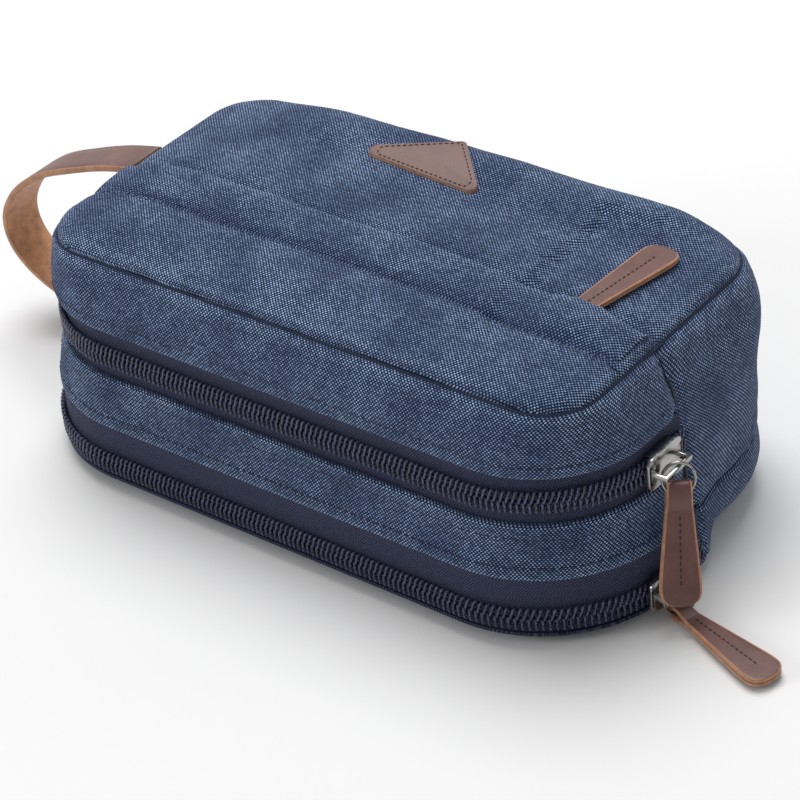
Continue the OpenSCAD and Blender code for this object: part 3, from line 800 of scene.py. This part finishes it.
def stitch_canvas(name, piece, points, moves_with):
    """A row of navy stitches on a canvas piece, set on its surface."""
    tree = tree_of(piece)
    hits = [tree.find_nearest(Vector(point) * MM) for point in points]
    row = stitch_row(name, [np.array(hit[0]) / MM for hit in hits], [hit[1] for hit in hits], 2.4, 0.9, 0.23,
                     "navy_thread")
    settle(row, "navy_canvas", moves_with)


def front_line(skin, z):
    """Points along the front at one height, just outside the canvas and clear of the end seams."""
    return skin.wall(front_run(1.6, END_SEAM_Y - 1.5), [z], 1.0)[0]


def build_walls(skin):
    rear = wall_panel(skin, "rear_gusset_canvas", DIVIDER_Z + 0.3, SEAM_Z, 1)
    finish_canvas(rear, "case", "rear_gusset", foam_backed=True)
    low = wall_panel(skin, "rear_base_band_canvas", 3.6, DIVIDER_Z - 0.3, 1)
    finish_canvas(low, "case", "rear_base_band")
    band = wall_panel(skin, "middle_band_canvas", DIVIDER_Z + 0.3, BAND_EDGE, -1, low_hem=True, high_hem=True)
    finish_canvas(band, "case", "middle_band", foam_backed=True)
    stitch_canvas("band_top_stitches", band, front_line(skin, BAND_EDGE - HEM_STITCH), "case")
    stitch_canvas("band_low_stitches", band, front_line(skin, DIVIDER_Z + 0.3 + HEM_STITCH), "case")
    lid = wall_panel(skin, "lid_gusset_canvas", LID_EDGE, SEAM_Z, -1, low_hem=True)
    finish_canvas(lid, LID_FOLD, "lid_front_gusset", "side_folds", foam_backed=True)
    stitch_canvas("lid_edge_stitches", lid, front_line(skin, LID_EDGE + HEM_STITCH), LID_FOLD)


def top_grid(skin):
    """The crowned top as a fine grid of rings, dipped at its edge, at the fly's seam and behind the fly."""
    end = COARSE_TOP[-1]
    insets = np.array([*EDGE_STEPS[:-1], *np.arange(6, end - 1, 2.0), end - 0.6])
    grid = skin.top(FINE_P, insets)
    normals = grid_normals(grid)
    normals[normals[..., 2] < 0] *= -1
    normals = towards_seam(normals, insets)
    grid = wrinkle(grid, normals, ease(insets / 10))
    y = grid[..., 1].copy()
    grid = grid - normals * (SEAM_DEPTH * dip(insets, SEAM_W))[:, None, None]
    grid[..., 2] -= 1.5 * dip(y - FLY_SEAM_Y, 2.6) + 2.2 * dip(y - FLY_EDGE_Y - 1.5, 9.0) * (y > FLY_EDGE_Y)
    return grid


def flat_places(grid):
    """Each point's place in the flat cloth: its outer rings are laid out flat at their true distances."""
    flat = grid[..., :2].copy()
    for row in range(len(EDGE_STEPS) - 1, -1, -1):
        step = grid[row] - grid[row + 1]
        flat[row] = flat[row + 1] + unit(step[:, :2]) * np.linalg.norm(step, axis=1, keepdims=True)
    return flat


def top_z(tree, x, y):
    """Height of the top canvas at a place, in millimetres."""
    hit = tree.ray_cast(Vector((x * MM, y * MM, 0.2)), Vector((0, 0, -1)))
    return hit[0].z / MM if hit[0] else SEAM_Z


def build_top(skin):
    """The rear and front of the top canvas, with a hole under the fly. Returns a tree for heights on it."""
    grid = top_grid(skin)
    rows, columns = grid.shape[:2]
    faces = grid_faces(rows, columns, wrap=True) + close_centre(grid[-1], (rows - 1) * columns)
    inset = np.minimum(TOP_X - np.abs(grid[..., 0]), TOP_Y - np.abs(grid[..., 1]))
    # Painted shade on the top behind the fly's edge and in the crease at the fly's seam; a lighter worn ring
    # just inside the top seam.
    shade_of_fly = 1.8 * dip(grid[..., 1] - FLY_EDGE_Y, 4.5) + 0.7 * dip(grid[..., 1] - FLY_SEAM_Y, 3.0)
    look = {"weave": flat_places(grid) + (0, 500.0), "wear_and_painted_light": 0.8 * dip(inset - 3.4, 2.4) - shade_of_fly}
    rear, front = (new_piece(name, grid.reshape(-1, 3), faces, ["canvas"], **look)
                   for name in ("rear_top_canvas", "front_top_canvas"))
    tree = tree_of(rear)
    keep_side(rear, FLY_SEAM_Y + 0.3, 1)
    cut_hole(rear, 108, FLY_EDGE_Y + 1.5)
    finish_canvas(rear, "case", "rear_top_panel")
    keep_side(front, FLY_SEAM_Y, -1)
    finish_canvas(front, LID_FOLD, "front_top_fold", "lid_top_panel")
    stitch_y = FLY_SEAM_Y - 2.2
    seam = [(x, stitch_y, top_z(tree, x, stitch_y)) for x in np.arange(-112, 112.1, 1.6)]
    stitch_canvas("fly_seam_stitches", front, seam, "case")
    return tree


def build_seam_cord(skin):
    """Dark piping sunk in the seam between the top and the walls."""
    depth, radius = 1.9, 0.6
    centre = skin.wall(FINE_P, [SEAM_Z])[0] - seam_slant() * depth
    cord = tube("top_seam_cord", centre, radius, 8, "binding", closed=True)
    settle(cord, "nylon_tape", LID_FOLD, "rear_seam_binding", "lid_seam_binding")


# The fly in side view, from its seam to its rear edge, and its turn under: y, and height above the top
FLY_OVER = ((-29.6, -0.9), (-28, 0.1), (-25, 1.2), (-20, 2.7), (-15, 3.4), (-11, 3.4), (-9.5, 3.0))
FLY_UNDER = ((-8.9, 2.5), (-8.6, 1.8), (-8.9, 1.0), (-10, 0.3), (-12.5, 0.2), (-16, 0.0))


def build_fly(tree):
    """The folded lip over the pocket zip: a sheet that runs back from its seam, turns under and returns."""
    half, pull_x, last_x = TOP_X - 2.2, 92, 116.5
    xs = np.arange(-half, half + 0.1, 2.0)
    line = FLY_OVER + FLY_UNDER
    runs = np.concatenate([[0], np.cumsum([math.dist(a, b) for a, b in zip(line, line[1:])])])
    rows = []
    for k, (y, h) in enumerate(line):
        row = []
        for x in xs:
            end = min(1.0, (half - abs(x)) / 14)
            over_pull = math.exp(-((x - pull_x) / 9) ** 4)
            wave = (0.5 * noise.noise(Vector((x / 19, y / 30, 4.4)))
                    + 0.25 * noise.noise(Vector((x / 7, y / 12, 9))))
            lift = h * (0.45 + 0.55 * end) + (0.6 * wave + 1.8 * over_pull) * min(1, max(h, 0) / 2)
            if k >= len(FLY_OVER):
                lift += over_pull * max(0.0, 3.4 - lift)
            edge_y = y + (0.6 * noise.noise(Vector((x / 26, 2.2, 0))) if y > -12 else 0)
            foot = top_z(tree, max(-last_x, min(last_x, x)), y) - 0.35 * (1 - end)
            row.append((x, edge_y, foot + lift))
        rows.append(row)
    grid = np.array(rows)
    weave = [[(x, 500 + FLY_SEAM_Y + run) for x in xs] for run in runs]
    # Painted highlight along the fly's folded edge, and painted shade on the fly next to its seam.
    wear_and_painted_light_values = [1.3 * max(0.0, 1 - abs(k - len(FLY_OVER) + 0.5) / 2.2) - 0.8 * (k < 2) for k in range(len(line))]
    piece = new_piece("pocket_fly_canvas", grid.reshape(-1, 3), grid_faces(*grid.shape[:2], flip=True),
                      ["canvas"], weave=weave, wear_and_painted_light=np.repeat(wear_and_painted_light_values, len(xs)))
    thicken(piece, 0.9)
    settle(piece, "navy_canvas", "fly", "pocket_fly")


def build_base(skin):
    """The flat base with a rounded edge and its rim, up to the lower zip."""
    rim = wall_rows(FINE_P, [3.9, 3.0, 2.0, 1.2, 0.6, 0.25])
    edge = wall_rows(FINE_P, [0.02])[0]
    flat = []
    for inset in (1.0, 3.0, 6, 10, *np.arange(16, 66, 6.0), 67.5):
        shrink = 1 - inset / 69
        ring = edge * (shrink, shrink, 1)
        ring[:, 0] += np.sign(edge[:, 0]) * (1 - shrink) * np.minimum(np.abs(edge[:, 0]), 60)
        flat.append(ring)
    grid = np.concatenate([rim, flat])[::-1]
    points = grid.reshape(-1, 3)
    rows, columns = grid.shape[:2]
    faces = grid_faces(rows, columns, wrap=True)
    faces += [(j, k, b, a) for k, j, a, b in (quad for quad in close_centre(grid[0], 0) if len(quad) == 4)]
    rim_first = (rows - len(rim) - 1) * columns
    kinds = [1 if face[0] >= rim_first and points[face[0]][1] < END_SEAM_Y else 0 for face in faces]
    piece = new_piece("base_canvas", points, faces, ["canvas", "tape"], kinds,
                      weave=points[:, :2] + (0, 900.0))
    thicken(piece, 1.0)
    settle(piece, "navy_canvas", BASE_FOLD, "rear_base_panel", "base_fold", "front_base_panel",
           "front_base_rim")


# ---------------------------------------------------------------- zips
def front_run(step, end_y=END_SEAM_Y + 0.5):
    """Distances round the bag along the front, from one end seam to the other."""
    first = -end_y
    last = 2 * SIDE + FRONT + 2 * ARC - first
    return np.linspace(first, last, int(round((last - first) / step)) + 1)


def zip_path(p, grow, z):
    """Points of a zip's centre line, and outward directions."""
    xy, out = outline(p, LEN / 2 + grow, WID / 2 + grow, CORNER + grow)
    return np.column_stack([xy, np.full(len(xy), z)]), np.column_stack([out, np.zeros(len(out))])


def zip_teeth(name, grow, z, side):
    """One side of a coil zip: a flattened helix along the zip, side +1 above the centre line."""
    first = front_run(COIL_PITCH)
    per_turn = 12
    t = np.arange((len(first) - 1) * per_turn + 1) / per_turn
    p = np.interp(t + (0.48 if side > 0 else 0.0), np.arange(len(first)), first)
    angle = 2 * math.pi * t
    across = 2.2 + 2.2 * np.cos(angle)
    height = -1.2 + 0.85 * np.sin(angle) + 0.25 * np.cos(2 * angle)
    path, out = zip_path(p - 0.3 * np.cos(angle) * side, grow, z)
    centre = path + out * height[:, None]
    centre[:, 2] += side * (across - 0.1)
    return tube(name, centre, 0.5, 6, "coil")


def zip_cord(name, grow, z, side):
    """Sewing thread that holds a coil to its tape: a chain of small loops over the teeth."""
    step = 0.45
    p = front_run(step)
    path, out = zip_path(p, grow, z)
    beat = 2 * math.pi * np.arange(len(p)) * step / COIL_PITCH
    centre = path + out * (-0.42 + 0.16 * np.cos(beat))[:, None]
    centre[:, 2] += side * (2.5 + 0.12 * np.sin(beat))
    return tube(name, centre, 0.3, 6, "coil_thread")


def zip_tape(name, grow, z_edge, z_centre):
    """Strip of zip tape from the chain's centre to the cloth's edge."""
    sunk, sunk_at_chain, thickness = 2.6, 2.1, 0.6
    p = front_run(2.4)
    grid, weave = [], []
    for k, z in enumerate(np.linspace(z_centre, z_edge, 7)):
        path, out = zip_path(p, grow, z)
        grid.append(path - out * (sunk if k else sunk_at_chain))
        weave.append(np.column_stack([p, np.full(len(p), abs(z - z_centre))]))
    faces = grid_faces(len(grid), len(p), flip=z_edge < z_centre)
    piece = new_piece(name, np.reshape(grid, (-1, 3)), faces, ["tape"], weave=weave)
    thicken(piece, thickness)
    return piece


def build_zips():
    for name, part, grow, z, side, edge, moves_with in (
            ("upper_case", "upper_{}_case", 0, UP_ZIP, -1, BAND_EDGE - 0.6, "case"),
            ("upper_lid", "upper_{}_lid", 0, UP_ZIP, 1, LID_EDGE + 0.6, LID_FOLD),
            ("lower_case", "lower_{}_case", FLARE, LOW_ZIP, 1, DIVIDER_Z + 1.0, "case"),
            ("lower_base", "lower_{}_base", FLARE, LOW_ZIP, -1, 3.4, BASE_FOLD)):
        strip = zip_tape(name + "_zip_tape", grow, edge, z + side * 0.2)
        settle(strip, "nylon_tape", moves_with, part.format("tape"))
        teeth = zip_teeth(name + "_zip_teeth", grow, z, side)
        settle(teeth, "nylon_coil", moves_with, part.format("coil"))
        cord = zip_cord(name + "_zip_cord", grow, z, side)
        settle(cord, "nylon_coil", moves_with)


# ---------------------------------------------------------------- stitches
STITCH_SHAPE = ((0.0, 0.25), (0.12, 0.75), (0.3, 1.0), (0.5, 1.05), (0.7, 1.0), (0.88, 0.75), (1.0, 0.25))


def stitch_row(name, points, outs, length, gap, radius, material):
    """A row of thread stitches along points, each a short rounded stitch pressed into the surface."""
    sides = 6
    turns = 2 * math.pi * np.arange(sides) / sides
    points, outs = np.asarray(points, float), np.asarray(outs, float)
    run = np.concatenate([[0], np.cumsum(np.linalg.norm(np.diff(points, axis=0), axis=1))])

    def at(values, s):
        return np.array([np.interp(s, run, values[:, k]) for k in range(3)])

    placed, faces = [], []
    for start in np.arange(gap / 2, run[-1] - length, length + gap):
        faces += ring_faces(len(STITCH_SHAPE), sides, len(placed))
        for t, size in STITCH_SHAPE:
            s = start + t * length
            out = unit(at(outs, s))
            side = np.cross(out, unit(at(points, s + 0.2) - at(points, s - 0.2)))
            centre = at(points, s) + out * radius * (math.sin(math.pi * t) * 0.9 - 0.35)
            placed += [centre + (side * math.cos(a) + out * math.sin(a) * 0.8) * radius * size for a in turns]
    return new_piece(name, placed, faces, [material], angle=80)


# ---------------------------------------------------------------- leather
def strap(name, path, y, side, widths, thickness, materials):
    """Flat strap along a path in the XZ plane, with its cut across Y. The top takes the first material, the
    underside the second and the cut edges the third."""
    tangent = unit(np.gradient(path, axis=0))
    half = thickness / 2
    bevel = min(0.35, half * 0.5)
    rows = []
    for (x, z), (along_x, along_z), width in zip(path, tangent, widths):
        e = width / 2
        right = [(e - bevel, half), (e, half - bevel), (e, 0), (e, -half + bevel), (e - bevel, -half)]
        left = [(-a, -b) for a, b in right]
        across = (-e * 0.5, 0, e * 0.5)
        loop = left[-1:] + [(a, half) for a in across] + right + [(-a, -half) for a in across] + left[:-1]
        rows.append([(x + along_z * b, y + side * a, z - along_x * b) for a, b in loop])
    grid = np.array(rows)
    count, columns = grid.shape[:2]
    kinds = [0] * 4 + [2] * 4 + [1] * 4 + [2] * 4
    return new_piece(name, grid.reshape(-1, 3), ring_faces(count, columns), materials,
                     kinds * (count - 1) + [2, 2], angle=50)


def pull_path(eye_half, ply, length, stretch, close_at):
    """Middle line of a folded strap in its side view: out along the top ply, round the eye and back."""
    mid, gap = ply / 2, 0.03
    xs = [length, length - 1.2, length - 2.6, length - 4.4, length - 7, length * 0.72, length * 0.5,
          length * 0.3, close_at + 4, close_at + 1.5, close_at]
    top = [(x, mid + gap) for x in xs]
    top += [(close_at + (stretch - close_at) * t, mid + gap + ease(t) * eye_half)
            for t in np.linspace(0.12, 1, 7)]
    top.append((0.0, mid + gap + eye_half))
    bend_r = eye_half + mid
    turn = [(-bend_r * math.sin(a), bend_r * math.cos(a)) for a in np.linspace(0.3, math.pi - 0.3, 9)]
    return np.array(top + turn + [(x, -z) for x, z in reversed(top)])


def pull_width(x, neck, length):
    """Width of a pull at distance x from its eye, with a round end."""
    end_w, end_r = 14.5, 5.6
    width = np.interp(x, [0, 6, length - 8, length], [neck, neck + 0.6, end_w, end_w])
    into = max(0.0, x - (length - end_r)) / end_r
    if into > 0:
        width -= 2 * end_r * 0.95 * (1 - math.sqrt(max(0.0, 1 - into ** 2)))
    return max(width, 4.0)


def leather_pull(name, place, length, node, body, eye_half, ply=1.65, neck=8.6, stretch=2.4, close_at=8.0):
    """A folded pull. place maps its own axes to the frame: X along the pull, Y along the eye, Z up."""
    path = pull_path(eye_half, ply, length, stretch, close_at)
    widths = [pull_width(max(x, 0), neck, length) for x in path[:, 0]]
    piece = strap(name, path, 0, 1, widths, ply, ["leather", "tan", "tan"])
    mod = piece.modifiers.new("smooth", "SUBSURF")
    mod.levels = mod.render_levels = 1
    apply_modifiers(piece)
    line = [(x, 0, 0) for x in np.linspace(9, length - 7, 24)]
    front, back = (stitch_row(f"{name}_stitch_{end}", np.array(line) + (0, 0, face * (ply + 0.02)),
                              [(0, 0, face)] * len(line), 1.7, 0.55, 0.25, "brown_thread")
                   for end, face in (("front", 1), ("back", -1)))
    for made in (piece, front, back):
        made.data.transform(place)
        settle(made, "brown_leather", body)
    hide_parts(node)


def axes_at(origin, x_axis, y_axis):
    """Matrix from a piece's own axes to the frame, for an origin in millimetres."""
    x = Vector(x_axis).normalized()
    z = x.cross(Vector(y_axis)).normalized()
    place = Matrix((x, z.cross(x), z)).transposed().to_4x4()
    place.translation = Vector(origin) * MM
    return place


def slider_axes(grow, z, turn=0.0):
    """Bridge bar of a slider: its place, the zip's direction there and the outward direction."""
    bar_out = 6.8
    a = math.radians(turn)
    out = Vector((math.cos(a), -math.sin(a), 0))
    along = Vector((math.sin(a), math.cos(a), 0))
    centre = Vector((LEN / 2 - CORNER, -(WID / 2 - CORNER), z)) + out * (CORNER + grow + bar_out)
    return centre, along, out


def turned(along, out, degrees):
    """Direction in the horizontal plane, turned from along towards out."""
    a = math.radians(degrees)
    return along * math.cos(a) + out * math.sin(a)


def upper_hang():
    """The upper slider's bar, the direction across its ring and the leaning direction it hangs in."""
    centre, along, out = slider_axes(0, UP_ZIP)
    flat = turned(along, out, 49)
    up = Vector((0, 0, 1))
    lean, tilt = math.radians(22), math.radians(4)
    plane = flat * math.cos(tilt) - up * math.sin(tilt)
    down = ((-up * math.cos(tilt) - flat * math.sin(tilt)) * math.cos(lean) + flat.cross(up) * math.sin(lean))
    return centre, plane, down


def lower_hang():
    """Centre of the lower ring's eye, the direction across the ring and the one its pull lies in."""
    centre, along, out = slider_axes(FLARE, LOW_ZIP, 8)
    plane = turned(along, out, 30)
    return centre - plane, plane, turned(along, out, 99.3)


def build_pulls():
    up = Vector((0, 0, 1))
    centre, plane, down = upper_hang()
    eye = centre + down * (RING_DROP + RING_R - 2.3)
    leather_pull("upper_zip_pull", axes_at(eye, down, plane), 41.25, "upper_pull", "upper_tab", 1.25)
    eye, _, run = lower_hang()
    eye.z = 3.0
    leather_pull("lower_zip_pull", axes_at(eye - run, run, up.cross(run)), 48.0, "lower_pull", "lower_tab",
                 1.3, neck=5.6)
    run = turned(Vector((1, 0, 0)), Vector((0, 1, 0)), 83)
    leather_pull("pocket_zip_pull", axes_at((90.96, -17.3, 97.95), run, up.cross(run)), 52.25, "pocket_pull",
                 "pocket_tab", 0.75, ply=1.0, neck=8.0, stretch=1.0, close_at=5.0)


# The strap loop in side view, from its upper end to its lower end: x and z
HANDLE = ((-120.2, 89.2), (-137, 85.2), (-155, 79.0), (-173, 71.4), (-188.5, 60), (-197.5, 46), (-196.6, 33),
          (-187, 22.6), (-169, 14.6), (-151, 10.8), (-129.4, 10.4))


def catmull(path, s):
    """Point at s steps along a smooth curve through the path."""
    i = min(int(s), len(path) - 2)
    t = s - i
    a, b, c, d = (path[max(0, min(len(path) - 1, k))] for k in (i - 1, i, i + 1, i + 2))
    return 0.5 * (2 * b + (c - a) * t + (2 * a - 5 * b + 4 * c - d) * t * t + (3 * b - a - 3 * c + d) * t**3)


def build_handle():
    """Leather strap loop with a smooth brown outside and a raw tan inside."""
    width, thickness, middle_y = 18.5, 2.6, 3.0
    path = np.array(HANDLE)
    curve = np.array([catmull(path, s) for s in np.linspace(0, len(path) - 1, 90)])
    piece = strap("handle_strap_leather", curve, middle_y, -1, [width] * len(curve), thickness,
                  ["strap", "suede", "tan"])
    settle(piece, "brown_leather", "case", "handle_strap")


def rounded_outline(centres, radius, steps=7):
    """Points round the hull of equal circles, which are given anticlockwise."""
    out = []
    for i, centre in enumerate(centres):
        here, before, after = (Vector(c) for c in (centre, centres[i - 1], centres[(i + 1) % len(centres)]))
        start, end = (math.atan2(-way.x, way.y) for way in (here - before, after - here))
        end += 2 * math.pi if end < start else 0
        for angle in np.linspace(start, end, steps + 1):
            out.append(here + Vector((math.cos(angle), math.sin(angle))) * radius)
    return out


def build_patch(tree):
    """Stitched leather triangle that follows the crowned top."""
    edge = rounded_outline([(-32.2, 35.2), (14.8, 31.3), (-2.3, 48.6)], 2.4)
    middle = Vector((-6.6, 38.2))
    thickness = 1.7

    def terms(q):
        return 1, q.x, q.y, q.x * q.x, q.x * q.y, q.y * q.y

    spots = [middle + (v - middle) * f for v in edge for f in (0.3, 0.6, 0.9)]
    heights = np.array([top_z(tree, q.x, q.y) for q in spots])
    fit = np.linalg.lstsq(np.array([terms(q) for q in spots]), heights, rcond=None)[0]

    def ring(scale, lift):
        """The patch's outline at a scale, at a lift above the fitted top."""
        places = [middle + (v - middle) * scale for v in edge]
        return [(q.x, q.y, float(np.dot(fit, terms(q))) + lift) for q in places]

    rings = ((1.0, 0.0), (1.0, 0.55), (1.0, 0.85), (0.985, 1.0), (0.93, 1.0), (0.8, 1.0), (0.55, 1.0),
             (0.3, 1.0), (0.08, 1.0))
    points = [point for scale, up in rings for point in ring(scale, 0.05 + up * thickness)]
    n = len(edge)
    piece = new_piece("triangle_patch_leather", points, ring_faces(len(rings), n), ["strap", "tan"],
                      [1] * 2 * n + [0] * (len(rings) - 3) * n + [1, 0])
    settle(piece, "brown_leather", "case", "triangle_patch")
    row = ring(0.86, thickness + 0.08)
    row.append(row[0])
    threads = stitch_row("triangle_patch_stitches", row, [(0, 0, 1)] * len(row), 1.7, 0.6, 0.22,
                         "brown_thread")
    settle(threads, "brown_leather", "case")


# ---------------------------------------------------------------- metal
def bevelled_copy(node, body, width):
    """A copy of a CAD node with its edges rounded."""
    name = node + "_body"
    piece = bpy.data.objects.new(name, frame["nodes"][node].data.copy())
    scene.collection.objects.link(piece)
    piece.data.materials.clear()
    piece.data.materials.append(MAT["nickel"])
    for face in piece.data.polygons:
        face.material_index = 0
    weld = piece.modifiers.new("weld", "WELD")
    weld.merge_threshold = 1e-6
    mod = piece.modifiers.new("edges", "BEVEL")
    mod.width = width * MM
    mod.segments = 3
    mod.limit_method = "ANGLE"
    mod.angle_limit = math.radians(35)
    apply_modifiers(piece)
    shade(piece.data, 50)
    settle(piece, "nickel", body, node)


def split_ring(name, centre, plane, down, node, body):
    """Ring of two turns of wire, which start and end side by side."""
    t = np.linspace(0, 2, 96)
    axis = down.cross(plane).normalized()
    shift = (np.clip((t - 0.9) / 0.2, 0, 1) - 0.5) * 2 * WIRE_R * 1.02
    points = []
    for angle, s in zip(2 * math.pi * t + 0.6, shift):
        v = centre + plane * (RING_R * math.cos(angle)) - down * (RING_R * math.sin(angle)) + axis * s
        points.append(tuple(v))
    settle(tube(name, np.array(points), WIRE_R, 10, "nickel"), "nickel", body, node)


def build_metal():
    for node, body, width in (("upper_slider", "upper_runner", 0.4), ("lower_slider", "lower_runner", 0.4),
                              ("pocket_slider", "pocket_runner", 0.25)):
        bevelled_copy(node, body, width)
    centre, plane, down = upper_hang()
    split_ring("upper_split_ring", centre + down * RING_DROP, plane, down, "upper_ring", "upper_link")
    centre, plane, _ = lower_hang()
    centre.z = 2.3 + RING_R
    split_ring("lower_split_ring", centre, plane, Vector((0, 0, -1)), "lower_ring", "lower_link")


# ---------------------------------------------------------------- what is left of the CAD nodes
def dress_cad_nodes():
    looks = {"nylon_tape": "lining", "nylon_coil": "coil", "lining_cloth": "lining", "foam": "foam",
             "fibre_board": "board", "brown_leather": "leather", "nickel": "nickel", "navy_canvas": "binding"}
    slot_of = {part["node"]: part["material_slot"] for part in frame["record"]["subparts"]}
    for name, node in frame["nodes"].items():
        node.data.materials.clear()
        node.data.materials.append(MAT[looks[slot_of[name]]])


MAT = make_materials()
set_camera()
set_stage()
skin = Skin()
build_walls(skin)
top_tree = build_top(skin)
build_seam_cord(skin)
build_fly(top_tree)
build_base(skin)
build_zips()
build_pulls()
build_handle()
build_patch(top_tree)
build_metal()
dress_cad_nodes()
